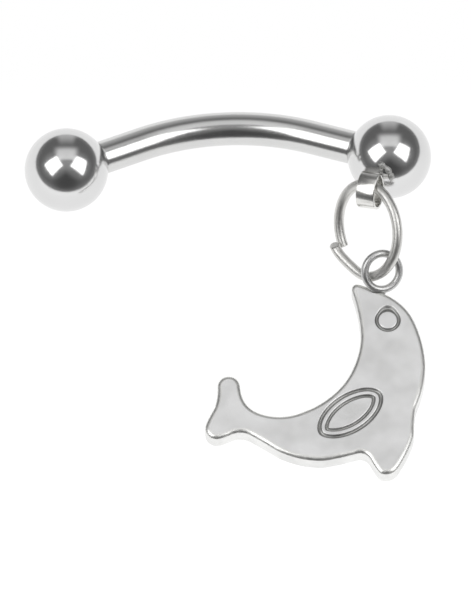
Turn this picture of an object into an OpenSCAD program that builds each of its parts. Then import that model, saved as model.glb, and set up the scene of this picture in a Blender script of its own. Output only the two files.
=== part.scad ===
// Curved eyebrow barbell with a dolphin drop, as it lies on a flat surface.
// Two balls and the middle of the bent bar touch the surface. A strap bail
// soldered to the right ball carries an opened jump ring, and the ring carries
// a flat dolphin that lies in front of the bar. Sizes are in millimetres.

/* [Barbell] */
// Thickness of the bent bar, 16 gauge
bar_d = 1.2; // [1.0:0.05:1.6]
// Free length between the two balls, in a straight line
bar_len = 8.6; // [7:0.1:12]
// Radius of the bend in the middle of the bar, to the bar's centre line
bend_r = 7.0; // [6:0.1:9]
// How far each end turns away from the middle, in degrees
bend_angle = 26; // [22:0.5:30]
// Diameter of each ball
ball_d = 3.0; // [2.8:0.05:3.4]
// Width of the small flat on each ball that the bar's shoulder meets
seat_d = 1.3; // [1.25:0.05:1.7]
// Gap between the bar's shoulder and that flat
seat_gap = 0.02; // [0.01:0.01:0.1]
// Thickness of the stud at each end of the bar
stud_d = 0.9; // [0.7:0.05:0.95]
// Length of the stud beyond the shoulder
stud_len = 1.8; // [1.2:0.1:2]
// Radial clearance of the stud in its hole
stud_fit = 0.02; // [0.01:0.01:0.05]
// How much deeper than the stud its hole is
hole_spare = 0.15; // [0.05:0.05:0.3]

/* [Bail] */
// Width of the strap that the bail is folded from
strap_w = 0.7; // [0.5:0.02:0.8]
// Thickness of the strap
strap_t = 0.1; // [0.08:0.01:0.14]
// Length of the folded eye, outside
bail_len = 1.32; // [1.2:0.02:1.6]
// Width of the folded eye, outside
bail_wide = 1.02; // [0.8:0.02:1.2]
// How sharply the eye narrows towards the ball, from 0 for an even oval
bail_taper = 0.2; // [0:0.05:0.6]
// Heading of the eye's long way, in degrees from the row's right
bail_turn = -98; // [-102:1:-94]
// How steeply the eye's long way falls
bail_fall = 33; // [30:0.5:36]
// Roll of the eye about its long way
bail_roll = -70; // [-74:0.5:-64]
// How far the wire rides from the eye's middle towards the ball
bail_slip = 0.17; // [0.1:0.01:0.2]
// How far the eye's middle lies under the wire
bail_stand = 0.03; // [0.01:0.01:0.05]
// How far it lies to the left of the point that hangs on the wire
bail_shift = 0.08; // [0:0.01:0.1]
// How much the soldered foot dips towards the ball, as a share of its run
foot_dip = 0.25; // [0:0.05:0.5]
// How far the foot runs on inside the ball
foot_depth = 0.2; // [0.1:0.01:0.25]

/* [Jump ring] */
// Thickness of the jump ring's wire
wire_d = 0.37; // [0.3:0.01:0.4]
// Length of the ring's opening, the long way
ring_long = 2.95; // [2.8:0.05:3.2]
// Width of the ring's opening, the short way
ring_short = 2.43; // [2.3:0.01:2.6]
// How far the two ends pass each other, in degrees of the ring
ring_overlap = 4; // [2:1:20]
// Sideways step between the two ends
ring_step = 0.5; // [0.42:0.01:0.6]
// Where on the ring the two ends lie, in degrees
ring_gap_angle = -77; // [-90:1:-70]
// How far the stretch below the gap is pressed in, as a share of its reach
ring_flat = 0.085; // [0:0.005:0.1]
// Where on the ring that stretch has its middle, in degrees
ring_flat_at = -44; // [-48:1:-40]
// How far it runs each way from there, in degrees
ring_flat_span = 42; // [36:1:46]
// Heading of the ring's long way
ring_turn = -82; // [-85:1:-79]
// How steeply the ring's long way falls towards the charm
ring_fall = 25.6; // [23:0.1:28]
// How far the ring's right side is rolled up
ring_roll = 43; // [40:0.5:46]
// Reach of the ring's middle in front of the ball's surface
ring_reach = 1.47; // [1.4:0.01:1.6]
// Where on the ring the bail hangs, in degrees
bail_at = 158; // [154:1:162]
// Lift of the resting ring off the surface
rest_gap = 0.01; // [0.005:0.005:0.03]

/* [Charm ring] */
// Thickness of the small closed ring's wire
loop_wire_d = 0.28; // [0.24:0.01:0.3]
// Opening of the small closed ring
loop_id = 1.02; // [0.96:0.01:1.2]
// Tilt of the small ring from level
loop_tilt = 38.5; // [37:0.5:42]
// Heading of the small ring's level diameter
loop_turn = 27; // [24:1:30]
// Where on the jump ring the small ring hangs, in degrees
loop_at = 5; // [2:1:8]
// Diameter of the solder between the small ring and the head
solder_d = 0.44; // [0.4:0.01:0.5]

/* [Dolphin] */
// Width of the dolphin, from the tail to the back
charm_w = 7.9; // [7:0.1:9]
// Height of the dolphin, from the fin's tip to the snout
charm_h = 7.6; // [7:0.1:8.6]
// Thickness of the dolphin's plate
charm_t = 0.7; // [0.5:0.05:0.9]
// Radius that the front edge is polished round to
edge_r = 0.14; // [0.08:0.01:0.18]
// Diameter of the engraved eye, outside its line
eye_d = 0.98; // [0.8:0.02:1.1]
// Width of the eye's engraved line
eye_line = 0.14; // [0.1:0.01:0.2]
// Length of the engraved side fin, outside its outer line
fin_len = 2.8; // [2.6:0.02:3]
// Width of the engraved side fin, outside its outer line
fin_wide = 1.54; // [1.4:0.02:1.6]
// Width of its outer line
fin_line = 0.18; // [0.12:0.01:0.2]
// Length of the leaf inside it, outside the inner line
leaf_len = 2.24; // [2:0.02:2.3]
// Width of that leaf
leaf_wide = 1.02; // [0.9:0.02:1.08]
// Width of the inner line
leaf_line = 0.15; // [0.1:0.01:0.18]
// Heading of the side fin's long way
fin_turn = 37; // [32:1:42]
// Depth of the engraving
cut_depth = 0.08; // [0.05:0.01:0.12]

/* [Hidden] */

// Smoothness of true circles, and degrees between the points of a drawn arc
round_fn = 64;
arc_step = 9;

// Overlap that joins soldered or fused forms
weld = 0.03;

// How much thicker the bend is than the straight ends, in radius
bend_swell = 0.002;

// The dolphin's edge, clockwise from the snout: share of the width, share of
// the height, and the bulge of the arc to the next point (its rise over half
// its chord, positive where the edge is hollow)
DOLPHIN = [
    [0.691, 0.997, -0.04],
    [0.816, 0.944, -0.17],
    [0.943, 0.817, -0.10],
    [1.000, 0.566, -0.09],
    [0.954, 0.348, 0.04],
    [0.947, 0.209, -0.08],
    [0.868, 0.028, -0.33],
    [0.791, 0.008, -0.05],
    [0.743, 0.091, 0.34],
    [0.689, 0.112, -0.04],
    [0.535, 0.073, -0.13],
    [0.326, 0.127, 0.02],
    [0.204, 0.209, 0.25],
    [0.116, 0.209, -0.08],
    [0.054, 0.185, -0.47],
    [0.003, 0.259, -0.04],
    [0.043, 0.348, 0.10],
    [0.057, 0.466, -0.92],
    [0.160, 0.466, 0.05],
    [0.170, 0.408, 0.23],
    [0.245, 0.323, 0.21],
    [0.444, 0.329, 0.15],
    [0.637, 0.488, 0.14],
    [0.706, 0.733, 0.06],
    [0.668, 0.956, -0.61]
];
eye_at = [0.829, 0.815];
fin_at = [0.658, 0.318];
solder_at = [0.807, 0.945];
charm_turn = -2.6;
edge_steps = 3;

// How far the solder bead's middle lies off the point where the head's edge is
// placed, and how blunt the engraved leaves are at their tips: less is blunter
bead_shift = [-0.06, 0.07];
fin_point = 0.12;
leaf_point = 0.3;
// How much wider an engraved line is at a leaf's tips than along its sides
tip_run = 1.1;

// The barbell's lines: the shoulder, the straight stretch, the rise and the
// lean that lets the bend come down to the surface
ball_r = ball_d / 2;
bar_r = bar_d / 2;
half_span = (bar_len + ball_d) / 2;
seat_at = sqrt(ball_r * ball_r - seat_d * seat_d / 4);
shoulder_at = seat_at + seat_gap;
straight = (half_span - bend_r * sin(bend_angle)) / cos(bend_angle);
rise = bend_r * (1 - cos(bend_angle)) + straight * sin(bend_angle);
lean = asin((ball_r - bar_r) / rise);
hole_depth = stud_len + seat_gap + hole_spare;
ball_c = [half_span, 0, ball_r];

function unit(v) = v / norm(v);

// The three directions of a frame that is headed, dropped and rolled
function frame_x(a, e) = [cos(a) * cos(e), sin(a) * cos(e), -sin(e)];
function frame_y(a, e, r) =
    cos(r) * [-sin(a), cos(a), 0] + sin(r) * [cos(a) * sin(e), sin(a) * sin(e), cos(e)];

// The jump ring's line, from its upper end round to its lower end: an oval
// with one stretch pressed in, and a sideways step that starts a little below
// its own plane
wire_r = wire_d / 2;
ring_a = ring_long / 2 + wire_r;
ring_b = ring_short / 2 + wire_r;
ring_x = frame_x(ring_turn, ring_fall);
ring_y = frame_y(ring_turn, ring_fall, ring_roll);
ring_z = cross(ring_x, ring_y);
ring_from = ring_gap_angle + ring_overlap / 2;
ring_sweep = 360 + ring_overlap;
ring_stations = 62;
ring_sides = 12;
step_below = 0.4;
function ring_in(t) =
    let (off = t + 360 - ring_flat_at)
    abs(off) < ring_flat_span ? 1 - ring_flat * pow(cos(90 * off / ring_flat_span), 2) : 1;
function ring_flat_point(t) = [
    ring_a * ring_in(t) * cos(t),
    ring_b * ring_in(t) * sin(t),
    ring_step * ((ring_from - t) / ring_sweep - step_below)
];
function ring_off(t) =
    let (p = ring_flat_point(t))
    p.x * ring_x + p.y * ring_y + p.z * ring_z;
function ring_turn_at(k) = ring_from - ring_sweep * k / ring_stations;
ring_low = min([for (k = [0:ring_stations]) ring_off(ring_turn_at(k)).z]);
ring_heading = [-0.31, -0.951];
ring_c = [
    ball_c.x + ring_heading.x * (ball_r + ring_reach),
    ball_c.y + ring_heading.y * (ball_r + ring_reach),
    wire_r + rest_gap - ring_low
];
function ring_point(t) = ring_c + ring_off(t);

// The bail's eye hangs round the wire, and its foot points at the ball
bail_x = frame_x(bail_turn, bail_fall);
bail_y = frame_y(bail_turn, bail_fall, bail_roll);
bail_z = cross(bail_x, bail_y);
bail_c = ring_point(bail_at - 360) + bail_slip * bail_x + bail_stand * bail_y - bail_shift * bail_z;
bail_top = bail_c - (bail_len / 2 - strap_t / 2) * bail_x;

// The small ring hangs on the wire, and the dolphin's head is under its edge
loop_r = (loop_id + loop_wire_d) / 2;
loop_x = [cos(loop_turn), sin(loop_turn), 0];
loop_y = [-sin(loop_turn) * cos(loop_tilt), cos(loop_turn) * cos(loop_tilt), sin(loop_tilt)];
loop_hang = [0.265, 0.07, 0.19];
loop_c = ring_point(loop_at - 360) + loop_hang;
solder_drop = [-0.01, -1.08];
solder_c = [
    loop_c.x + solder_drop.x * loop_r,
    loop_c.y + solder_drop.y * loop_r,
    charm_t - 3 * solder_d / 8
];

// Points of an arc from a to b, without b
function arc_points(a, b, bulge) =
    let (
        chord = b - a,
        turn = 4 * atan(bulge),
        radius = norm(chord) / (2 * sin(turn / 2)),
        side = [-chord.y, chord.x] / norm(chord),
        centre = (a + b) / 2 + side * radius * cos(turn / 2),
        n = max(2, ceil(abs(turn) / arc_step))
    )
    [for (i = [0:n - 1])
        let (t = turn * i / n, v = a - centre)
        centre + [v.x * cos(t) - v.y * sin(t), v.x * sin(t) + v.y * cos(t)]];

dolphin_edge = [
    for (i = [0:len(DOLPHIN) - 1])
        let (p = DOLPHIN[i], q = DOLPHIN[(i + 1) % len(DOLPHIN)])
        each arc_points([p[0] * charm_w, p[1] * charm_h], [q[0] * charm_w, q[1] * charm_h], p[2])
];

// A closed edge, clockwise, with each point moved inwards
function inset(edge, d) =
    [for (i = [0:len(edge) - 1])
        let (
            before = edge[(i + len(edge) - 1) % len(edge)],
            after = edge[(i + 1) % len(edge)],
            along = unit(after - before)
        )
        edge[i] + d * [along.y, -along.x]];

// A leaf with its tips on the first axis
function leaf(length, width, point, n = 40) =
    [for (i = [0:n - 1])
        let (t = 360 * i / n)
        [length / 2 * cos(t), width / 2 * sin(t) * pow(abs(sin(t)) + 0.001, point)]];

// A drop whose narrow end points back along the first axis, as wide at its
// widest place as asked for
function drop(length, width, taper, n = 40) =
    let (peak = 2 * sqrt(1 / (2 + taper)) * pow((1 + taper) / (2 + taper), (1 + taper) / 2))
    [for (i = [0:n - 1])
        let (t = 360 * i / n - 180)
        [length / 2 * cos(t), width / 2 * sin(t) * pow(cos(t / 2), taper) / peak]];

// Where a point of the dolphin's own drawing lies
function charm_place(p) =
    let (q = p - [solder_at.x * charm_w, solder_at.y * charm_h])
    [
        solder_c.x + q.x * cos(charm_turn) - q.y * sin(charm_turn),
        solder_c.y + q.x * sin(charm_turn) + q.y * cos(charm_turn)
    ];
charm_points = [for (p = dolphin_edge) charm_place(p)];

// The whole object's box, so that its origin is under its middle
bar_back = rise * cos(lean) + bar_r;
box_left = min(-half_span - ball_r, min([for (p = charm_points) p.x]));
box_right = max(half_span + ball_r, max([for (p = charm_points) p.x]));
box_front = min([for (p = charm_points) p.y]);
box_back = max(bar_back, ball_r);
origin = [(box_left + box_right) / 2, (box_front + box_back) / 2, 0];

module centred() {
    translate(-origin) children();
}

module in_frame(o, x, y) {
    z = cross(x, y);
    multmatrix([
        [x.x, y.x, z.x, o.x],
        [x.y, y.y, z.y, o.y],
        [x.z, y.z, z.z, o.z],
        [0, 0, 0, 1]
    ]) children();
}

// The plane of the bend: the first axis runs between the balls, the second to
// the bend's outside, dropping by the lean
module in_bend() {
    translate([0, 0, ball_r]) rotate([-lean, 0, 0]) children();
}

// Frame at the right ball with its third axis out along the bar's end, away
// from the bar
module at_end() {
    translate([half_span, 0, 0]) rotate([0, 0, -bend_angle]) rotate([0, 90, 0]) children();
}

module both_ends() {
    at_end() children();
    mirror([1, 0, 0]) at_end() children();
}

module bar() {
    color("silver") centred() in_bend() {
        translate([0, rise - bend_r, 0]) rotate([0, 0, 90 - bend_angle])
            rotate_extrude(angle = 2 * bend_angle, $fn = round_fn)
                translate([bend_r, 0]) circle(r = bar_r, $fn = round_fn);
        both_ends() {
            translate([0, 0, -straight - weld])
                cylinder(r = bar_r - bend_swell, h = straight + weld - shoulder_at, $fn = round_fn);
            translate([0, 0, -shoulder_at - weld])
                cylinder(r = stud_d / 2, h = stud_len + weld, $fn = round_fn);
        }
    }
}

// A ball with its flat and its hole, its hole facing down the third axis
module bored_ball() {
    difference() {
        sphere(r = ball_r, $fn = round_fn);
        translate([0, 0, -ball_r - weld])
            cylinder(r = seat_d, h = ball_r + weld - seat_at, $fn = round_fn);
        translate([0, 0, -ball_r - weld])
            cylinder(r = stud_d / 2 + stud_fit, h = ball_r + weld - seat_at + hole_depth, $fn = round_fn);
    }
}

module plain_ball() {
    color("silver") centred() in_bend() mirror([1, 0, 0]) at_end() bored_ball();
}

// The folded eye of the bail, and the foot that is soldered to the ball
module bail() {
    in_frame(bail_c, bail_x, bail_y)
        linear_extrude(height = strap_w, center = true)
            difference() {
                polygon(drop(bail_len, bail_wide, bail_taper));
                polygon(drop(bail_len - 2 * strap_t, bail_wide - 2 * strap_t, bail_taper));
            }
    to_ball = ball_c - bail_top;
    run = norm([to_ball.x, to_ball.y]);
    foot_x = unit([to_ball.x, to_ball.y, -foot_dip * run]);
    foot_y = unit(cross(bail_z, foot_x));
    foot_len = run - sqrt(ball_r * ball_r - to_ball.z * to_ball.z) + foot_depth;
    in_frame(bail_top, foot_x, foot_y)
        translate([0, -strap_t, -strap_w / 2 + weld])
            cube([foot_len, 2 * strap_t, strap_w - 2 * weld]);
}

module charm_ball() {
    color("silver") centred() {
        in_bend() at_end() bored_ball();
        bail();
    }
}

// The opened ring: a round wire swept along its line
module jump_ring() {
    wire_points = [
        for (k = [0:ring_stations])
            let (
                t = ring_turn_at(k),
                way = unit(ring_flat_point(t - 1) - ring_flat_point(t + 1)),
                side = unit(cross(way, [ring_b * cos(t), ring_a * sin(t), 0])),
                out = cross(side, way)
            )
            each [for (j = [0:ring_sides - 1])
                let (
                    a = 360 * j / ring_sides,
                    p = ring_flat_point(t) + wire_r * (cos(a) * out + sin(a) * side)
                )
                ring_c + p.x * ring_x + p.y * ring_y + p.z * ring_z]
    ];
    wire_faces = [
        [for (j = [0:ring_sides - 1]) ring_sides - 1 - j],
        [for (j = [0:ring_sides - 1]) ring_stations * ring_sides + j],
        for (k = [0:ring_stations - 1]) for (j = [0:ring_sides - 1])
            let (
                a = k * ring_sides + j,
                b = k * ring_sides + (j + 1) % ring_sides
            )
            each [[a, b, b + ring_sides], [a, b + ring_sides, a + ring_sides]]
    ];
    color("silver") centred() polyhedron(points = wire_points, faces = wire_faces, convexity = 4);
}

// The dolphin's plate with its front edge polished round in small steps
module dolphin_plate() {
    linear_extrude(height = charm_t - edge_r) polygon(dolphin_edge);
    for (k = [1:edge_steps])
        linear_extrude(height = charm_t - edge_r + edge_r * sin(90 * k / edge_steps))
            polygon(inset(dolphin_edge, edge_r * (1 - cos(90 * (k - 0.5) / edge_steps))));
}

// A leaf drawn as a line of its own width
module leaf_band(length, width, point, line) {
    difference() {
        polygon(leaf(length, width, point));
        polygon(leaf(length - 2 * tip_run * line, width - 2 * line, point));
    }
}

module engraving() {
    translate([eye_at.x * charm_w, eye_at.y * charm_h, 0])
        difference() {
            cylinder(r = eye_d / 2, h = 2 * cut_depth, $fn = round_fn);
            translate([0, 0, -weld])
                cylinder(r = eye_d / 2 - eye_line, h = 2 * cut_depth + 2 * weld, $fn = round_fn);
        }
    translate([fin_at.x * charm_w, fin_at.y * charm_h, 0]) rotate([0, 0, fin_turn])
        linear_extrude(height = 2 * cut_depth) {
            leaf_band(fin_len, fin_wide, fin_point, fin_line);
            leaf_band(leaf_len, leaf_wide, leaf_point, leaf_line);
        }
}

module dolphin_charm() {
    color("silver") centred() {
        translate([solder_c.x, solder_c.y, 0]) rotate([0, 0, charm_turn])
            translate([-solder_at.x * charm_w, -solder_at.y * charm_h, 0])
                difference() {
                    dolphin_plate();
                    translate([0, 0, charm_t - cut_depth]) engraving();
                }
        in_frame(loop_c, loop_x, loop_y)
            rotate_extrude($fn = round_fn)
                translate([loop_r, 0]) circle(r = loop_wire_d / 2, $fn = round_fn);
        translate([solder_c.x + bead_shift.x, solder_c.y + bead_shift.y, solder_c.z])
            sphere(r = solder_d / 2, $fn = round_fn);
    }
}

bar();
plain_ball();
charm_ball();
jump_ring();
dolphin_charm();
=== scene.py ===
import math

import bpy
import numpy as np
from mathutils import Matrix, Vector
from mathutils.geometry import delaunay_2d_cdt


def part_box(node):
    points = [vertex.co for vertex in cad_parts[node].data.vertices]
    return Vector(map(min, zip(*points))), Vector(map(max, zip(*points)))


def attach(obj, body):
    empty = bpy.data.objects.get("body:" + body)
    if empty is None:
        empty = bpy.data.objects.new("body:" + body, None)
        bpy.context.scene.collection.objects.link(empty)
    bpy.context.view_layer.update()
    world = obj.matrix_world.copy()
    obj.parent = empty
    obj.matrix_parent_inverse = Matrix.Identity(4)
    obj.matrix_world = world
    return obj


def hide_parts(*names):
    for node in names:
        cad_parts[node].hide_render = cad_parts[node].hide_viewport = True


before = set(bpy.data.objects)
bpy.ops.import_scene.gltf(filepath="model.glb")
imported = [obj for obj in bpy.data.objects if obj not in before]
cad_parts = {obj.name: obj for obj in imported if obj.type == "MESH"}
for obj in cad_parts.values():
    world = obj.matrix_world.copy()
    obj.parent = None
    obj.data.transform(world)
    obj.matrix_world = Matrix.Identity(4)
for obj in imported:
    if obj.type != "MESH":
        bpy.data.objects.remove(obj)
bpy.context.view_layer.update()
mm = 0.001


# The bent bar. One length of 16 gauge surgical steel rod, bent in the middle
# and mirror-polished, with a square shoulder at each end where the rod is
# turned down and threaded for the balls. It lies with its bend on the table.
ball_r = 1.5
bar_r = 0.6
bend_r = 7.0
bend_angle = math.radians(26)
half_span = 5.8
seat_r = 0.65
seat_gap = 0.02
shoulder_at = math.sqrt(ball_r**2 - seat_r**2) + seat_gap
straight = (half_span - bend_r * math.sin(bend_angle)) / math.cos(bend_angle)
rise = bend_r * (1 - math.cos(bend_angle)) + straight * math.sin(bend_angle)
lean = math.asin((ball_r - bar_r) / rise)
middle_y = (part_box("plain_ball")[0].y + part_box("plain_ball")[1].y) / 2 / mm
stud_len = 1.8
thread_top = 0.445
thread_root = 0.385
thread_pitch = 0.25
thread_start = 0.12
thread_runout = 0.25
thread_steps = 80
stud_tip_cut = 0.03
shoulder_round = 0.035
shoulder_steps = 4
bar_sides = 96
bar_steps = 240


def in_bend(along, out, up):
    """A point of the bend's own plane, in millimetres of the whole piece."""
    y = out * math.cos(lean) + up * math.sin(lean)
    z = -out * math.sin(lean) + up * math.cos(lean)
    return Vector((along, middle_y + y, ball_r + z))


def new_piece(name, points, faces, smooth_under=40):
    """A piece from points in millimetres, shaded smooth where its faces meet gently."""
    mesh = bpy.data.meshes.new(name)
    mesh.from_pydata([Vector(p) * mm for p in points], [], faces)
    mesh.validate()
    mesh.polygons.foreach_set("use_smooth", [True] * len(mesh.polygons))
    mesh.set_sharp_from_angle(angle=math.radians(smooth_under))
    piece = bpy.data.objects.new(name, mesh)
    bpy.context.scene.collection.objects.link(piece)
    return piece


def skin_rings(rings, closed_way=False, cap=True):
    """Faces between rings of points that have the same count, with flat ends."""
    count = len(rings[0])
    faces = []
    total = len(rings)
    for k in range(total if closed_way else total - 1):
        a = k * count
        b = (k + 1) % total * count
        for j in range(count):
            n = (j + 1) % count
            faces.append((a + j, a + n, b + n, b + j))
    if cap and not closed_way:
        faces.append(tuple(reversed(range(count))))
        faces.append(tuple((total - 1) * count + j for j in range(count)))
    return [p for ring in rings for p in ring], faces


def polished(name, colour, roughness, grain, grain_depth, cloud, cloud_depth, patch, streaky=None):
    """Polished metal: fine polishing lines, a soft unevenness, and paler and duller patches."""
    material = bpy.data.materials.new(name)
    material.use_nodes = True
    nodes = material.node_tree.nodes
    link = material.node_tree.links.new
    shader = nodes["Principled BSDF"]
    shader.inputs["Metallic"].default_value = 1.0
    place = nodes.new("ShaderNodeTexCoord")
    stretch = nodes.new("ShaderNodeMapping")
    stretch.inputs["Scale"].default_value = streaky or (1, 1, 1)
    lines = nodes.new("ShaderNodeTexNoise")
    lines.inputs["Scale"].default_value = grain / mm
    lines.inputs["Detail"].default_value = 3
    soft = nodes.new("ShaderNodeTexNoise")
    soft.inputs["Scale"].default_value = cloud / mm
    soft.inputs["Detail"].default_value = 2
    link(place.outputs["Object"], stretch.inputs["Vector"])
    link(stretch.outputs["Vector"], lines.inputs["Vector"])
    link(place.outputs["Object"], soft.inputs["Vector"])
    dull = nodes.new("ShaderNodeMapRange")
    dull.inputs["From Min"].default_value = 0.3
    dull.inputs["From Max"].default_value = 0.75
    dull.inputs["To Min"].default_value = roughness * 0.85
    dull.inputs["To Max"].default_value = roughness * 1.25
    link(lines.outputs["Fac"], dull.inputs["Value"])
    link(dull.outputs["Result"], shader.inputs["Roughness"])
    tone = nodes.new("ShaderNodeValToRGB")
    tone.color_ramp.elements[0].position = 0.36
    tone.color_ramp.elements[0].color = (*(v * (1 - patch) for v in colour), 1)
    tone.color_ramp.elements[1].position = 0.64
    tone.color_ramp.elements[1].color = (*(min(1.0, v * (1 + patch)) for v in colour), 1)
    link(soft.outputs["Fac"], tone.inputs["Fac"])
    link(tone.outputs["Color"], shader.inputs["Base Color"])
    wave = nodes.new("ShaderNodeBump")
    wave.inputs["Strength"].default_value = 1.0
    wave.inputs["Distance"].default_value = cloud_depth * mm
    link(soft.outputs["Fac"], wave.inputs["Height"])
    scratch = nodes.new("ShaderNodeBump")
    scratch.inputs["Strength"].default_value = 1.0
    scratch.inputs["Distance"].default_value = grain_depth * mm
    link(lines.outputs["Fac"], scratch.inputs["Height"])
    link(wave.outputs["Normal"], scratch.inputs["Normal"])
    link(scratch.outputs["Normal"], shader.inputs["Normal"])
    return material


def line_of_bar(s):
    """A point of the bar's middle line, a length from its middle, and how far it has turned there."""
    arc = bend_r * bend_angle
    turn = max(-bend_angle, min(bend_angle, s / bend_r))
    over = s - max(-arc, min(arc, s))
    along = bend_r * math.sin(turn) + over * math.cos(turn)
    out = rise - bend_r + bend_r * math.cos(turn) - over * math.sin(turn)
    return along, out, turn


half_line = bend_r * bend_angle + straight
bar_end = half_line - shoulder_at
bar_stations = np.linspace(-bar_end + shoulder_round, bar_end - shoulder_round, bar_steps + 1)


def bar_ring(s, radius):
    """One ring of points across the bar; radius is a number or a function of the angle."""
    along, out, turn = line_of_bar(s)
    ring = []
    for j in range(bar_sides):
        a = 2 * math.pi * j / bar_sides
        r = radius(a) if callable(radius) else radius
        side = r * math.cos(a)
        ring.append(in_bend(along + side * math.sin(turn), out + side * math.cos(turn), r * math.sin(a)))
    return ring


def thread_ring(end, depth_along):
    """A ring of the threaded stud; its tooth winds round, with a narrow flat at crest and root."""
    def height(a):
        climb = depth_along / thread_pitch - end * a / (2 * math.pi)
        tooth = abs((climb % 1.0) * 2 - 1)
        full = thread_root + (thread_top - thread_root) * min(1.0, max(0.0, tooth * 1.4 - 0.2))
        ease_in = min(1.0, depth_along / thread_start)
        ease_out = min(1.0, (stud_len - depth_along) / thread_runout)
        return thread_root - stud_tip_cut * (1 - ease_out) + (full - thread_root) * ease_in * ease_out
    return bar_ring(end * (bar_end + depth_along), height)


def shoulder_ring(end, k):
    """A ring of the shoulder's rounded corner, counted from its face to the bar's side."""
    a = math.pi / 2 * k / shoulder_steps
    along = bar_end - shoulder_round + shoulder_round * math.cos(a)
    return bar_ring(end * along, bar_r - shoulder_round * (1 - math.sin(a)))


bar_rings = []
for k in range(thread_steps, -1, -1):
    bar_rings.append(thread_ring(-1, stud_len * k / thread_steps))
for k in range(shoulder_steps + 1):
    bar_rings.append(shoulder_ring(-1, k))
for s in bar_stations[1:-1]:
    bar_rings.append(bar_ring(s, bar_r))
for k in range(shoulder_steps, -1, -1):
    bar_rings.append(shoulder_ring(1, k))
for k in range(thread_steps + 1):
    bar_rings.append(thread_ring(1, stud_len * k / thread_steps))
bar = new_piece("bar_rod", *skin_rings(bar_rings))
bar_steel = polished(
    "polished bar steel", (0.68, 0.68, 0.675),
    roughness=0.19, grain=14, grain_depth=0.0004, cloud=0.8, cloud_depth=0.004, patch=0.015,
    streaky=(0.15, 1, 1),
)
bar.data.materials.append(bar_steel)
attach(bar, "barbell")
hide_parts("bar")


# The two balls. Each is a 3 mm ball of the same steel with a small flat ground
# on it and a hole bored in from there, mirror-polished, and screwed on the
# stud up to the bar's shoulder.
ball_steel = polished(
    "mirror ball steel", (0.71, 0.71, 0.71),
    roughness=0.14, grain=10, grain_depth=0.0002, cloud=0.7, cloud_depth=0.003, patch=0.012,
)
hole_r = 0.47
hole_depth = 1.95
drill_point = 0.12
lead_in = 0.04
flat_round = 0.05
axis_r = 0.0001
hole_end_steps = 8
hole_wall_steps = 24
lead_in_steps = 3
flat_round_steps = 6
ball_sides = 240
ball_steps = 180


def ball_piece(name, end):
    """A ball turned about the bar's end line; end is 1 at the right and -1 at the left."""
    flat_at = math.sqrt(ball_r**2 - seat_r**2)
    wall_len = hole_depth - drill_point - lead_in
    profile = []
    for k in range(hole_end_steps + 1):
        f = k / hole_end_steps
        profile.append((hole_r * f + axis_r, -flat_at + hole_depth - drill_point * f**2))
    for k in range(1, hole_wall_steps + 1):
        f = k / hole_wall_steps
        profile.append((hole_r, -flat_at + hole_depth - drill_point - wall_len * f))
    for k in range(1, lead_in_steps + 1):
        f = k / lead_in_steps
        profile.append((hole_r + lead_in * f, -flat_at + lead_in * (1 - f)))
    start = math.asin((seat_r + flat_round / 2) / ball_r)
    sphere_edge = (ball_r * math.sin(start), -ball_r * math.cos(start))
    sphere_run = flat_round * 0.6
    profile.append((seat_r - 2 * flat_round, -flat_at))
    for k in range(flat_round_steps):
        f = k / flat_round_steps
        flat_part = (seat_r - flat_round * (1 - f), -flat_at)
        sphere_part = (
            sphere_edge[0] - (1 - f) * sphere_run * math.cos(start),
            sphere_edge[1] - (1 - f) * sphere_run * math.sin(start),
        )
        profile.append(tuple(p * (1 - f) + q * f for p, q in zip(flat_part, sphere_part)))
    for k in range(ball_steps + 1):
        a = start + (math.pi - start) * k / ball_steps
        profile.append((max(axis_r, ball_r * math.sin(a)), -ball_r * math.cos(a)))
    _, _, turn = line_of_bar(end * half_line)
    way = (end * math.cos(bend_angle), -math.sin(bend_angle))
    across = (math.sin(turn), math.cos(turn))
    rings = []
    for r, h in profile:
        ring = []
        for j in range(ball_sides):
            a = -end * 2 * math.pi * j / ball_sides
            side = r * math.cos(a)
            along = end * half_span + way[0] * h + across[0] * side
            out = way[1] * h + across[1] * side
            ring.append(in_bend(along, out, r * math.sin(a)))
        rings.append(ring)
    piece = new_piece(name, *skin_rings(rings), smooth_under=30)
    piece.data.materials.append(ball_steel)
    return piece


left_ball = ball_piece("left_ball", -1)
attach(left_ball, "screw_ball")
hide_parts("plain_ball")
right_ball = ball_piece("right_ball", 1)
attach(right_ball, "barbell")
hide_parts("charm_ball")


# The jump ring. Round steel wire wound on an oval mandrel and sawn through; its
# ends were sprung apart sideways to thread the pieces on, never closed fully, and
# the stretch below the gap was pressed in. Its low side rests on the table.
wire_r = 0.185
ring_a = 1.66
ring_b = 1.40
ring_from = -75.0
ring_sweep = 364.0
ring_step = 0.5
ring_level_at = 0.4
ring_flat = 0.085
ring_flat_at = -404
ring_flat_span = 42
ring_turn = -82
ring_fall = 25.6
ring_roll = 43
ring_away = 2.97
ring_way = (-0.31, -0.951)
ring_clear = 0.01
ring_low_steps = 62
ring_steps = 360
ring_sides = 48


def headed(turn, fall, roll):
    """Three directions: headed round, dropped by the fall, rolled about the first."""
    a, e, r = (math.radians(v) for v in (turn, fall, roll))
    x = Vector((math.cos(a) * math.cos(e), math.sin(a) * math.cos(e), -math.sin(e)))
    level = Vector((-math.sin(a), math.cos(a), 0))
    over = Vector((math.cos(a) * math.sin(e), math.sin(a) * math.sin(e), math.cos(e)))
    y = level * math.cos(r) + over * math.sin(r)
    return x, y, x.cross(y)


ring_x, ring_y, ring_z = headed(ring_turn, ring_fall, ring_roll)


def ring_off(t):
    """A point of the wire's middle line from the ring's centre: an oval, pressed flat a little."""
    a = math.radians(t)
    lift = ring_step * ((ring_from - t) / ring_sweep - ring_level_at)
    off_flat = min(1.0, abs(t - ring_flat_at) / ring_flat_span)
    size = 1 - ring_flat * math.cos(math.pi / 2 * off_flat) ** 2
    return (ring_x * ring_a * math.cos(a) + ring_y * ring_b * math.sin(a)) * size + ring_z * lift


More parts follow.
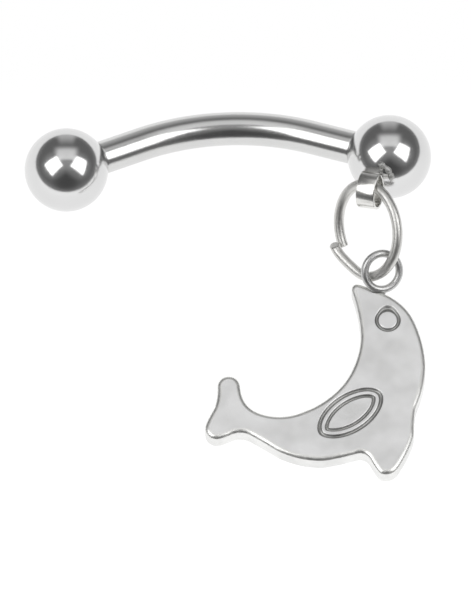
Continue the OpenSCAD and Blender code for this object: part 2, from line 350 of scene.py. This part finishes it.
ring_low = min(
    ring_off(ring_from - ring_sweep * k / ring_low_steps).z for k in range(ring_low_steps + 1)
)
ring_c = Vector((
    half_span + ring_way[0] * ring_away,
    middle_y + ring_way[1] * ring_away,
    wire_r + ring_clear - ring_low,
))


def wire_rings(line, radius, sides):
    """Rings of points along a line, carried along without twist."""
    rings = []
    count = len(line)
    ways = [(line[min(k + 1, count - 1)] - line[max(k - 1, 0)]).normalized() for k in range(count)]
    side = ways[0].orthogonal().normalized()
    for k in range(count):
        side = (side - ways[k] * side.dot(ways[k])).normalized()
        up = ways[k].cross(side)
        r = radius(k) if callable(radius) else radius
        ring = []
        for j in range(sides):
            a = 2 * math.pi * j / sides
            ring.append(line[k] + side * (r * math.cos(a)) + up * (r * math.sin(a)))
        rings.append(ring)
    return rings


ring_line = [
    ring_c + ring_off(ring_from - ring_sweep * k / ring_steps) for k in range(ring_steps + 1)
]
end_round = 0.03
ring_rings = wire_rings(
    ring_line, lambda k: wire_r - end_round * (k in (0, ring_steps)), ring_sides
)
saw_up = Vector((0, -0.44, 0.9))
cut_reach = 16
end_cuts = (
    {"end": 0, "inward": 1, "slant": -0.25},
    {"end": ring_steps, "inward": -1, "slant": 0.7},
)
for cut in end_cuts:
    outward = (ring_line[cut["end"]] - ring_line[cut["end"] + cut["inward"]]).normalized()
    across = (saw_up - outward * saw_up.dot(outward)).normalized()
    for k in range(cut_reach):
        place = cut["end"] + cut["inward"] * k
        slant = cut["slant"] * (1 - k / cut_reach)
        ring_rings[place] = [
            p - outward * (slant * (p - ring_line[place]).dot(across)) for p in ring_rings[place]
        ]
jump = new_piece("jump_ring_wire", *skin_rings(ring_rings), smooth_under=50)
ring_steel = polished(
    "drawn ring wire", (0.68, 0.675, 0.655),
    roughness=0.36, grain=12, grain_depth=0.0004, cloud=1.2, cloud_depth=0.006, patch=0.04,
)
jump.data.materials.append(ring_steel)
sawn_steel = polished(
    "sawn wire end", (0.80, 0.795, 0.78),
    roughness=0.6, grain=20, grain_depth=0.002, cloud=1.2, cloud_depth=0.004, patch=0.08,
)
jump.data.materials.append(sawn_steel)
for face in (-1, -2):
    jump.data.polygons[face].material_index = 1
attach(jump, "barbell")
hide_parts("jump_ring")


# The bail. A flat strap of steel folded over into a small drop-shaped eye round
# the jump ring. Its two ends meet at the eye's narrow top and run on as a short
# foot that is soldered to the front of the right ball.
strap_w = 0.7
strap_t = 0.1
strap_round = 0.03
strap_meet = 0.97
bail_len = 1.32
bail_wide = 1.02
bail_taper = 0.2
bail_turn = -98
bail_fall = 33
bail_roll = -70
bail_at = 158
bail_slip = 0.17
bail_stand = 0.03
bail_shift = 0.08
bail_steps = 200
bail_heading_step = 0.01
bail_x, bail_y, bail_z = headed(bail_turn, bail_fall, bail_roll)
bail_hang = bail_x * bail_slip + bail_y * bail_stand - bail_z * bail_shift
bail_c = ring_c + ring_off(bail_at - 360) + bail_hang


def drop_point(a, length, width):
    """A point of the eye's outline, narrow towards the ball; a runs from -pi to pi."""
    taper = bail_taper
    peak = 2 * math.sqrt(1 / (2 + taper)) * ((1 + taper) / (2 + taper)) ** ((1 + taper) / 2)
    narrowed = max(0.0, math.cos(a / 2)) ** taper / peak
    return length / 2 * math.cos(a), width / 2 * math.sin(a) * narrowed


def strap_section(steps=4):
    """The strap's section, thickness by width, with its edges eased."""
    points = []
    for sx, sy, first_angle in ((1, 1, 0), (-1, 1, 90), (-1, -1, 180), (1, -1, 270)):
        for k in range(steps + 1):
            a = math.radians(first_angle + 90 * k / steps)
            points.append((
                sx * (strap_t / 2 - strap_round) + strap_round * math.cos(a),
                sy * (strap_w / 2 - strap_round) + strap_round * math.sin(a),
            ))
    return points


bail_rings = []
middle_size = (bail_len - strap_t, bail_wide - strap_t)
for k in range(bail_steps + 1):
    a = math.pi * strap_meet * (2 * k / bail_steps - 1)
    x, y = drop_point(a, *middle_size)
    x1, y1 = drop_point(a - bail_heading_step, *middle_size)
    x2, y2 = drop_point(a + bail_heading_step, *middle_size)
    out = (bail_x * (y2 - y1) - bail_y * (x2 - x1)).normalized()
    at = bail_c + bail_x * x + bail_y * y
    bail_rings.append([at + out * u + bail_z * v for u, v in strap_section()])
bail_eye = new_piece("bail_eye", *skin_rings(bail_rings), smooth_under=50)
strap_steel = polished(
    "folded strap steel", (0.77, 0.765, 0.745),
    roughness=0.19, grain=12, grain_depth=0.0004, cloud=1.5, cloud_depth=0.006, patch=0.03,
)
bail_eye.data.materials.append(strap_steel)
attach(bail_eye, "barbell")
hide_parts("charm_ball")

foot_dip = 0.25
foot_depth = 0.20
foot_half_t = 0.085
foot_inset = 0.02
foot_steps = 16
foot_sides = 32
thick_flare = 0.5
wide_flare = 0.08
ball_c = Vector((half_span, middle_y, ball_r))
bail_top = bail_c - bail_x * (bail_len / 2 - strap_t / 2)
to_ball = ball_c - bail_top
foot_run = math.hypot(to_ball.x, to_ball.y)
foot_x = Vector((to_ball.x, to_ball.y, -foot_dip * foot_run)).normalized()
foot_y = bail_z.cross(foot_x).normalized()
foot_z = foot_x.cross(foot_y)
foot_len = foot_run - math.sqrt(ball_r**2 - to_ball.z**2) + foot_depth
foot_rings = []
for k in range(foot_steps + 1):
    f = k / foot_steps
    at = bail_top + foot_x * (foot_len * f - foot_inset)
    ring = []
    for j in range(foot_sides):
        a = 2 * math.pi * j / foot_sides
        c = math.cos(a)
        s = math.sin(a)
        u = math.copysign(abs(c) ** 0.5, c) * foot_half_t * (1 + thick_flare * f**3)
        v = math.copysign(abs(s) ** 0.5, s) * (strap_w / 2 - foot_inset) * (1 + wide_flare * f**3)
        ring.append(at + foot_y * u + foot_z * v)
    foot_rings.append(ring)
foot = new_piece("bail_foot", *skin_rings(foot_rings), smooth_under=60)
foot.data.materials.append(strap_steel)
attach(foot, "barbell")
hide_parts("charm_ball")


# The bail's solder. A low, lumpy seam that ran out on the ball along the right
# side of the foot when it was soldered on, and that the polishing left dull.
seam_turns = (-119, -108, -99, -93.5, -90, -90.5)
seam_heights = (50.8, 50.9, 47.6, 42.9, 36.1, 27.2)
seam_sink = 0.02
seam_thin = 0.075
seam_lump = 0.045
seam_lumps = 3
seam_steps = 90
seam_sides = 40
seam_passes = 12
seam_line = []
for k in range(seam_steps + 1):
    spot = (len(seam_turns) - 1) * k / seam_steps
    turn = math.radians(np.interp(spot, range(len(seam_turns)), seam_turns))
    height = math.radians(np.interp(spot, range(len(seam_turns)), seam_heights))
    way = Vector((
        math.cos(turn) * math.cos(height),
        math.sin(turn) * math.cos(height),
        math.sin(height),
    ))
    seam_line.append(ball_c + way * (ball_r - seam_sink))
for _ in range(seam_passes):
    seam_line[1:-1] = [
        (before + 2 * here + after) / 4
        for before, here, after in zip(seam_line, seam_line[1:], seam_line[2:])
    ]


def seam_radius(k):
    """The seam's radius along its line: low lumps of uneven length, and thin ends."""
    f = k / seam_steps
    lump = abs(math.sin(math.pi * (seam_lumps * f + 0.12 * math.sin(9 * f)))) ** 1.2
    end_share = min(1.0, math.sqrt(0.1 + 6 * min(f, 1 - f)))
    return (seam_thin + seam_lump * lump) * end_share


seam_rings = wire_rings(seam_line, seam_radius, seam_sides)
seam = new_piece("bail_solder", *skin_rings(seam_rings), smooth_under=70)
seam_metal = polished(
    "tumbled solder", (0.50, 0.50, 0.49),
    roughness=0.50, grain=9, grain_depth=0.0006, cloud=3.0, cloud_depth=0.004, patch=0.08,
)
seam.data.materials.append(seam_metal)
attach(seam, "barbell")
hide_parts("charm_ball")


# The small closed ring on the charm. Round wire bent to a ring, its joint
# soldered shut, then laid against the dolphin's head and soldered there.
loop_r = 0.65
loop_wire_r = 0.14
loop_tilt = math.radians(38.5)
loop_turn = math.radians(27)
loop_at = 5
loop_hang = Vector((0.265, 0.07, 0.19))
loop_steps = 144
loop_sides = 40
loop_x = Vector((math.cos(loop_turn), math.sin(loop_turn), 0))
loop_y = Vector((
    -math.sin(loop_turn) * math.cos(loop_tilt),
    math.cos(loop_turn) * math.cos(loop_tilt),
    math.sin(loop_tilt),
))
loop_z = loop_x.cross(loop_y)
loop_c = ring_c + ring_off(loop_at - 360) + loop_hang
loop_rings = []
for k in range(loop_steps):
    a = 2 * math.pi * k / loop_steps
    out = loop_x * math.cos(a) + loop_y * math.sin(a)
    ring = []
    for j in range(loop_sides):
        b = 2 * math.pi * j / loop_sides
        over = loop_z * (loop_wire_r * math.sin(b))
        ring.append(loop_c + out * (loop_r + loop_wire_r * math.cos(b)) + over)
    loop_rings.append(ring)
loop = new_piece("charm_ring", *skin_rings(loop_rings, closed_way=True))
# Painted shade: the ring's colour is darker than the charm's own metal, so it reads as shaded.
shaded_ring_metal = polished(
    "polished charm ring", (0.62, 0.62, 0.615),
    roughness=0.36, grain=12, grain_depth=0.0004, cloud=1.2, cloud_depth=0.006, patch=0.04,
)
loop.data.materials.append(shaded_ring_metal)
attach(loop, "barbell")
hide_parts("dolphin_charm")


# The dolphin. Stamped from 0.7 mm plate, with the eye and the side fin pressed in
# as round-bottomed grooves, rougher inside and darkened as painted shade. Its front
# edge is tumbled round and bright, the face is polished by hand and very slightly
# uneven, and the sheared side is rougher, its colour darkened as painted shade.
charm_w = 7.9
charm_h = 7.6
charm_t = 0.7
edge_r = 0.19
edge_from = math.radians(32)
edge_steps = 8
back_edge = 0.03
cut_depth = 0.065
cut_steps = 14
eye_r = 0.475
eye_peak = 0.14
eye_dot_r = 0.315
eye_points = 160
fin_len = 2.8
fin_wide = 1.54
fin_groove = 0.18
leaf_len = 2.24
leaf_wide = 1.02
leaf_groove = 0.16
leaf_points = 260
charm_turn = math.radians(-2.6)
solder = loop_c.xy + Vector((-0.01, -1.08)) * loop_r
solder_share = (0.807, 0.945)
eye_share = (0.829, 0.815)
eye_lowered = 0.09
fin_share = (0.658, 0.318)
outline_step = 0.035
outline_passes = 9
outline_arc_steps = 48
rows_apart = 0.87
clear_of_rims = 0.45
outline = [
    (0.691, 0.997, -0.04), (0.816, 0.944, -0.17), (0.943, 0.817, -0.10), (1.000, 0.566, -0.09),
    (0.954, 0.348, 0.04), (0.947, 0.209, -0.08), (0.868, 0.028, -0.33), (0.791, 0.008, -0.05),
    (0.743, 0.091, 0.34), (0.689, 0.112, -0.04), (0.535, 0.073, -0.13), (0.326, 0.127, 0.02),
    (0.204, 0.209, 0.25), (0.116, 0.209, -0.08), (0.054, 0.185, -0.47), (0.003, 0.259, -0.04),
    (0.043, 0.348, 0.10), (0.057, 0.466, -0.92), (0.160, 0.466, 0.05), (0.170, 0.408, 0.23),
    (0.245, 0.323, 0.21), (0.444, 0.329, 0.15), (0.637, 0.488, 0.14), (0.706, 0.733, 0.06),
    (0.668, 0.956, -0.61),
]


def even_line(points, step):
    """A closed line through the points, with points at even lengths."""
    loop_points = np.vstack([points, points[:1]])
    lengths = np.concatenate([[0], np.cumsum(np.linalg.norm(np.diff(loop_points, axis=0), axis=1))])
    count = max(12, int(lengths[-1] / step))
    at = np.linspace(0, lengths[-1], count, endpoint=False)
    return np.stack([np.interp(at, lengths, loop_points[:, i]) for i in (0, 1)], 1)


def arc_line(rows):
    """The outline's arcs as one closed line, in millimetres."""
    points = []
    for i, (x, y, bulge) in enumerate(rows):
        a = np.array([x * charm_w, y * charm_h])
        nx, ny, _ = rows[(i + 1) % len(rows)]
        b = np.array([nx * charm_w, ny * charm_h])
        chord = b - a
        turn = 4 * math.atan(bulge)
        size = np.linalg.norm(chord)
        radius = size / (2 * math.sin(turn / 2))
        side = np.array([-chord[1], chord[0]]) / size
        centre = (a + b) / 2 + side * radius * math.cos(turn / 2)
        for k in range(outline_arc_steps):
            t = turn * k / outline_arc_steps
            v = a - centre
            points.append(centre + [
                v[0] * math.cos(t) - v[1] * math.sin(t),
                v[0] * math.sin(t) + v[1] * math.cos(t),
            ])
    return np.array(points)


def eased(points, passes):
    """A closed line with its corners rounded a little more by each pass."""
    for _ in range(passes):
        points = (np.roll(points, 1, 0) + 2 * points + np.roll(points, -1, 0)) / 4
    return points


def moved_in(points, distance):
    """A clockwise closed line moved inwards."""
    along = np.roll(points, -1, 0) - np.roll(points, 1, 0)
    along /= np.linalg.norm(along, axis=1, keepdims=True)
    return points + distance * np.stack([along[:, 1], -along[:, 0]], 1)


def leaf(length, width, point, centre, turn, count):
    """A clockwise leaf with its tips along its heading."""
    points = []
    for k in range(count):
        t = -2 * math.pi * k / count
        x = length / 2 * math.cos(t)
        y = width / 2 * math.sin(t) * (abs(math.sin(t)) + 0.001) ** point
        points.append((
            centre[0] + x * math.cos(turn) - y * math.sin(turn),
            centre[1] + x * math.sin(turn) + y * math.cos(turn),
        ))
    return np.array(points)


def round_line(centre, radius, peak, count):
    """A clockwise circle, drawn out by the peak at its top."""
    points = []
    for k in range(count):
        t = -2 * math.pi * k / count
        r = radius + peak * max(0.0, math.sin(t)) ** 5
        points.append((centre[0] + r * math.cos(t), centre[1] + r * math.sin(t)))
    return np.array(points)


body_line = eased(even_line(arc_line(outline), outline_step), outline_passes)
eye_at = (eye_share[0] * charm_w, eye_share[1] * charm_h - eye_lowered)
fin_at = (fin_share[0] * charm_w, fin_share[1] * charm_h)
fin_turn = math.radians(37)
charm_points = []
charm_faces = []
groove_faces = []


def add_line(points, z):
    """Adds a closed line of points at a height and gives their places in the list."""
    start = len(charm_points)
    charm_points.extend((float(x), float(y), z) for x, y in points)
    return list(range(start, start + len(points)))


def join_lines(a, b):
    """Faces between two closed lines that have the same count."""
    for k in range(len(a)):
        n = (k + 1) % len(a)
        charm_faces.append((a[k], b[k], b[n], a[n]))


def fill_flat(outer, holes, z, spacing):
    """Fills the flat between closed lines with small, even faces, row by row."""
    lines = [outer] + holes
    flat = [Vector(charm_points[i][:2]) for line in lines for i in line]
    places = [i for line in lines for i in line]
    edges = []
    start = 0
    for line in lines:
        count = len(line)
        edges += [(start + k, start + (k + 1) % count) for k in range(count)]
        start += count
    rims = [np.array([charm_points[i][:2] for i in line]) for line in lines]
    low = rims[0].min(0)
    high = rims[0].max(0)
    every = np.vstack(rims)
    for row, y in enumerate(np.arange(low[1], high[1], spacing * rows_apart)):
        for x in np.arange(low[0] + (row % 2) * spacing / 2, high[0], spacing):
            at = np.array([x, y])
            if not inside(at, rims[0]) or any(inside(at, rim) for rim in rims[1:]):
                continue
            if np.min(np.linalg.norm(every - at, axis=1)) < spacing * clear_of_rims:
                continue
            flat.append(Vector(at))
            places.append(len(charm_points))
            charm_points.append((float(x), float(y), z))
    made, _, faces, came_from, _, _ = delaunay_2d_cdt(flat, edges, [], 0, 1e-7)
    made_places = []
    for at, origin in zip(made, came_from):
        if origin:
            made_places.append(places[origin[0]])
        else:
            made_places.append(len(charm_points))
            charm_points.append((at.x, at.y, z))
    for face in faces:
        mid = np.mean([made[i] for i in face], axis=0)
        if inside(mid, rims[0]) and not any(inside(mid, rim) for rim in rims[1:]):
            charm_faces.append(tuple(made_places[i] for i in face))


def inside(point, rim):
    """Whether a point is inside a closed line."""
    x, y = point
    x0, y0 = rim.T
    x1, y1 = np.roll(rim, -1, 0).T
    crosses = (y0 > y) != (y1 > y)
    with np.errstate(divide="ignore", invalid="ignore"):
        at = (x1 - x0) * (y - y0) / (y1 - y0) + x0
    return bool(np.count_nonzero(crosses & (x < at)) % 2)


side_low = add_line(moved_in(body_line, back_edge), 0.0)
below = add_line(body_line, back_edge)
join_lines(below, side_low)
for k in range(edge_steps + 1):
    a = edge_from + (math.pi / 2 - edge_from) * k / edge_steps
    inwards = edge_r * (math.cos(edge_from) - math.cos(a))
    ring = add_line(moved_in(body_line, inwards), charm_t - edge_r + edge_r * math.sin(a))
    join_lines(ring, below)
    below = ring
    if k == 0:
        side_faces = len(charm_faces)
face_rim = below
rounded_faces = len(charm_faces)


def pressed_groove(outer, inner):
    """A round-bottomed groove from one closed line to another; gives its two rims."""
    rims = []
    first_face = len(charm_faces)
    for k in range(cut_steps + 1):
        f = k / cut_steps
        depth = cut_depth * (0.5 - 0.5 * math.cos(2 * math.pi * f))
        rims.append(add_line(outer * (1 - f) + inner * f, charm_t - depth))
        if k:
            join_lines(rims[-1], rims[-2])
    # The groove's faces, all but one row at each rim, are gathered for the groove metal, whose darker
    # colour is painted shade.
    bright_rim = len(outer)
    groove_faces.extend(range(first_face + bright_rim, len(charm_faces) - bright_rim))
    return rims[0], rims[-1]


eye_rim, eye_dot = pressed_groove(
    round_line(eye_at, eye_r, eye_peak, eye_points),
    round_line(eye_at, eye_dot_r, 0.0, eye_points),
)


def leaf_groove_lines(length, width, groove, blunt, sharp):
    """The two rims of a groove that runs round a leaf, wider at its tips."""
    outer = leaf(length, width, blunt, fin_at, fin_turn, leaf_points)
    inner = leaf(length - 2.2 * groove, width - 2 * groove, sharp, fin_at, fin_turn, leaf_points)
    return eased(outer, 3), eased(inner, 3)


fin_rim, ridge_rim = pressed_groove(*leaf_groove_lines(fin_len, fin_wide, fin_groove, 0.12, 0.12))
leaf_rim, leaf_dot = pressed_groove(*leaf_groove_lines(leaf_len, leaf_wide, leaf_groove, 0.3, 0.4))
fill_flat(eye_dot, [], charm_t, spacing=0.1)
fill_flat(ridge_rim, [leaf_rim], charm_t, spacing=0.1)
fill_flat(leaf_dot, [], charm_t, spacing=0.1)
fill_flat(face_rim, [eye_rim, fin_rim], charm_t, spacing=0.12)
fill_flat(side_low, [], 0.0, spacing=0.3)
charm_metal = polished(
    "satin charm metal", (0.93, 0.93, 0.925),
    roughness=0.34, grain=10, grain_depth=0.0004, cloud=0.8, cloud_depth=0.009, patch=0.09,
)
turned = Matrix.Rotation(charm_turn, 2)
corner = Vector((solder_share[0] * charm_w, solder_share[1] * charm_h))
for i, (x, y, z) in enumerate(charm_points):
    at = turned @ (Vector((x, y)) - corner) + solder
    charm_points[i] = (at.x, at.y, z)
plate = new_piece("dolphin_plate", charm_points, charm_faces, smooth_under=35)
# Painted shade: the groove metal is rougher and much darker than the face, so the grooves read as
# shaded.
rough_shaded_groove_metal = polished(
    "rougher groove metal with painted shade", (0.46, 0.46, 0.45),
    roughness=0.42, grain=6, grain_depth=0.002, cloud=1.5, cloud_depth=0.006, patch=0.16,
)
# Painted shade: the sheared side is rougher, and its colour is darkened to stand for the soft shade
# along the plate's lower edge.
sheared_shaded_metal = polished(
    "sheared side of the plate", (0.80, 0.80, 0.79),
    roughness=0.38, grain=8, grain_depth=0.001, cloud=1.2, cloud_depth=0.004, patch=0.06,
)
rounded_metal = polished(
    "bright rounded edge", (0.90, 0.90, 0.88),
    roughness=0.34, grain=10, grain_depth=0.0004, cloud=1.2, cloud_depth=0.004, patch=0.05,
)
plate.data.materials.append(charm_metal)
plate_metals = (
    (rough_shaded_groove_metal, groove_faces),
    (sheared_shaded_metal, range(side_faces)),
    (rounded_metal, range(side_faces, rounded_faces)),
)
for metal, metal_faces in plate_metals:
    plate.data.materials.append(metal)
    for k in metal_faces:
        plate.data.polygons[k].material_index = len(plate.data.materials) - 1
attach(plate, "barbell")
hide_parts("dolphin_charm")


# The charm's solder. A low bead that ran in between the closed ring and the
# head, and was left dull and darker than the polished metal.
bead_at = Vector((solder.x - 0.20, solder.y + 0.11, 0.54))
bead_size = Vector((0.32, 0.16, 0.24))
bead_steps = 32
bead_sides = 64
bead_rings = []
for k in range(1, bead_steps):
    b = math.pi * k / bead_steps
    ring = []
    for j in range(bead_sides):
        a = 2 * math.pi * j / bead_sides
        ring.append(bead_at + Vector((
            bead_size.x * math.sin(b) * math.cos(a),
            bead_size.y * math.sin(b) * math.sin(a),
            -bead_size.z * math.cos(b),
        )))
    bead_rings.append(ring)
bead = new_piece("solder_bead", *skin_rings(bead_rings), smooth_under=80)
solder_metal = polished(
    "dull solder", (0.36, 0.36, 0.35),
    roughness=0.42, grain=9, grain_depth=0.001, cloud=2.0, cloud_depth=0.01, patch=0.08,
)
bead.data.materials.append(solder_metal)
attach(bead, "barbell")
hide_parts("dolphin_charm")


# The camera: a long lens 64 degrees above the table, turned a little so that
# the right ball stands a touch further from the lower edge than the left one.
camera_turn = math.radians(-2.62)
camera_up = math.radians(64)
camera_far = 0.7
pixels_per_mm = 27.93
frame_tall = 600
sensor_tall = 36
back = Vector((
    math.sin(camera_turn) * math.cos(camera_up),
    -math.cos(camera_turn) * math.cos(camera_up),
    math.sin(camera_up),
))
target = Vector((0.0412, middle_y - 5.072, 0.7)) * mm
camera = bpy.data.objects.new("camera", bpy.data.cameras.new("camera"))
camera.data.sensor_width = sensor_tall
camera.data.lens = sensor_tall * camera_far / (frame_tall / pixels_per_mm * mm)
camera.data.clip_start = 0.01
camera.data.clip_end = 20
camera.location = target + back * camera_far
camera.rotation_mode = "QUATERNION"
camera.rotation_quaternion = (-back).to_track_quat("-Z", "Y")
bpy.context.scene.collection.objects.link(camera)
bpy.context.scene.camera = camera


# The table: a white sheet that is lit from within, so that nothing casts a
# shadow on it. It is a little brighter on the near side.
table_half = 3.0
table_glow = (1.12, 1.0)
table_reach = 9 * mm


def lit_surface(name, points, faces, strength):
    """A glowing sheet of the stage; the studio is set out square to the camera."""
    mesh = bpy.data.meshes.new(name)
    mesh.from_pydata(points, [], faces)
    sheet = bpy.data.objects.new(name, mesh)
    sheet.rotation_euler.z = camera_turn
    bpy.context.scene.collection.objects.link(sheet)
    material = bpy.data.materials.new(name)
    material.use_nodes = True
    nodes = material.node_tree.nodes
    nodes.clear()
    light = nodes.new("ShaderNodeEmission")
    light.inputs["Color"].default_value = (1, 1, 1, 1)
    light.inputs["Strength"].default_value = strength
    out = nodes.new("ShaderNodeOutputMaterial")
    material.node_tree.links.new(light.outputs["Emission"], out.inputs["Surface"])
    mesh.materials.append(material)
    return sheet, material.node_tree, light


_, table_paint, table_light = lit_surface("table", [
    (-table_half, -table_half, 0), (table_half, -table_half, 0),
    (table_half, table_half, 0), (-table_half, table_half, 0),
], [(0, 1, 2, 3)], 1.0)
table_spot = table_paint.nodes.new("ShaderNodeTexCoord")
table_parts = table_paint.nodes.new("ShaderNodeSeparateXYZ")
table_fade = table_paint.nodes.new("ShaderNodeMapRange")
table_fade.inputs["From Min"].default_value = -table_reach
table_fade.inputs["From Max"].default_value = table_reach
table_fade.inputs["To Min"].default_value = table_glow[0]
table_fade.inputs["To Max"].default_value = table_glow[1]
table_paint.links.new(table_spot.outputs["Object"], table_parts.inputs[0])
table_paint.links.new(table_parts.outputs["Y"], table_fade.inputs["Value"])
table_paint.links.new(table_fade.outputs["Result"], table_light.inputs["Strength"])


# The studio: a dim room that only the metal mirrors, darkest low behind the
# camera. It has a doorway's light beyond the piece, a pale ceiling card, a soft
# glow on each side, and two softboxes. Past the table's edge all is plain white.
room_r = 2.4
room_floor = 0.0005
room_rows = 24
room_columns = 96
room_points = []
room_faces = []
for k in range(room_rows + 1):
    up = math.radians(90 * k / room_rows)
    for j in range(room_columns):
        a = 2 * math.pi * j / room_columns
        room_points.append((
            room_r * math.cos(up) * math.cos(a),
            room_r * math.cos(up) * math.sin(a),
            room_r * math.sin(up) + room_floor,
        ))
for k in range(room_rows):
    for j in range(room_columns):
        n = (j + 1) % room_columns
        a = k * room_columns
        b = (k + 1) * room_columns
        room_faces.append((a + j, b + j, b + n, a + n))
room, paint, room_light = lit_surface("dim_room", room_points, room_faces, 1.0)
room.visible_camera = False
room.visible_shadow = False
spot = paint.nodes.new("ShaderNodeTexCoord")
towards = paint.nodes.new("ShaderNodeVectorMath")
towards.operation = "NORMALIZE"
paint.links.new(spot.outputs["Object"], towards.inputs[0])


def how_near(way):
    """How nearly a spot of the room lies towards a direction, from -1 to 1."""
    dot = paint.nodes.new("ShaderNodeVectorMath")
    dot.operation = "DOT_PRODUCT"
    dot.inputs[1].default_value = way
    paint.links.new(towards.outputs["Vector"], dot.inputs[0])
    return dot.outputs["Value"]


def faded(value, nothing_at, full_at, full):
    """A soft patch: nothing at one value, full at another."""
    fade = paint.nodes.new("ShaderNodeMapRange")
    fade.interpolation_type = "SMOOTHSTEP"
    fade.inputs["From Min"].default_value = min(nothing_at, full_at)
    fade.inputs["From Max"].default_value = max(nothing_at, full_at)
    fade.inputs["To Min"].default_value = 0.0 if nothing_at < full_at else full
    fade.inputs["To Max"].default_value = full if nothing_at < full_at else 0.0
    paint.links.new(value, fade.inputs["Value"])
    return fade.outputs["Result"]


def combined(way, *values):
    """The sum or the product of several values."""
    total = values[0]
    for value in values[1:]:
        step = paint.nodes.new("ShaderNodeMath")
        step.operation = way
        paint.links.new(total, step.inputs[0])
        paint.links.new(value, step.inputs[1])
        total = step.outputs["Value"]
    return total


def cosine(degrees):
    """The value of how_near at that many degrees off its direction."""
    return math.cos(math.radians(degrees))


overhead = how_near((0, 0, 1))
beyond = how_near((0, 1, 0))
sideways = paint.nodes.new("ShaderNodeMath")
sideways.operation = "ABSOLUTE"
paint.links.new(how_near((1, 0, 0)), sideways.inputs[0])
dark_way = (0, -0.84, 0.545)
left_way = (-0.55, -0.15, 0.82)
right_way = (0.55, -0.17, 0.82)
walls = faded(how_near(dark_way), nothing_at=cosine(0), full_at=cosine(44), full=0.068)
unlit = paint.nodes.new("ShaderNodeValue")
unlit.outputs["Value"].default_value = 0.076
skirting = faded(overhead, nothing_at=cosine(75), full_at=cosine(86), full=0.06)
ceiling_glow = faded(overhead, nothing_at=cosine(42), full_at=cosine(2), full=0.06)
doorway = combined(
    "MULTIPLY",
    faded(sideways.outputs["Value"], nothing_at=0.34, full_at=0.14, full=1.0),
    faded(beyond, nothing_at=0.0, full_at=0.2, full=1.0),
    faded(overhead, nothing_at=0.80, full_at=0.15, full=0.36),
)
ceiling_card = combined(
    "MULTIPLY",
    faded(sideways.outputs["Value"], nothing_at=0.56, full_at=0.28, full=0.58),
    faded(beyond, nothing_at=0.74, full_at=0.46, full=1.0),
    faded(beyond, nothing_at=-0.02, full_at=0.12, full=1.0),
)
left_glow = faded(how_near(left_way), nothing_at=cosine(44), full_at=cosine(22), full=0.10)
right_glow = faded(how_near(right_way), nothing_at=cosine(44), full_at=cosine(22), full=0.10)
room_paint = combined(
    "ADD",
    walls, unlit.outputs["Value"], skirting, ceiling_glow,
    doorway, ceiling_card, left_glow, right_glow,
)
paint.links.new(room_paint, room_light.inputs["Strength"])

softbox_far = 1.6
softbox_glow = 2.2
softboxes = (
    ("softbox_left", (
        (-0.874, -0.005, 0.485),
        (-0.424, 0.238, 0.873),
        (-0.163, -0.231, 0.959),
        (-0.627, -0.556, 0.546),
    )),
    ("softbox_right", (
        (0.449, 0.242, 0.860),
        (0.822, 0.131, 0.554),
        (0.718, -0.501, 0.483),
        (0.192, -0.257, 0.947),
    )),
)
for name, corners in softboxes:
    corner_points = [tuple(softbox_far * v for v in at) for at in corners]
    softbox, _, _ = lit_surface(name, corner_points, [(0, 1, 2, 3)], softbox_glow)
    softbox.visible_camera = False
    softbox.visible_shadow = False

world = bpy.data.worlds.new("pale surround")
world.use_nodes = True
surround = world.node_tree.nodes["Background"]
surround.inputs["Color"].default_value = (1, 1, 1, 1)
surround.inputs["Strength"].default_value = 1.0
bpy.context.scene.world = world
bpy.context.scene.view_settings.view_transform = "Standard"
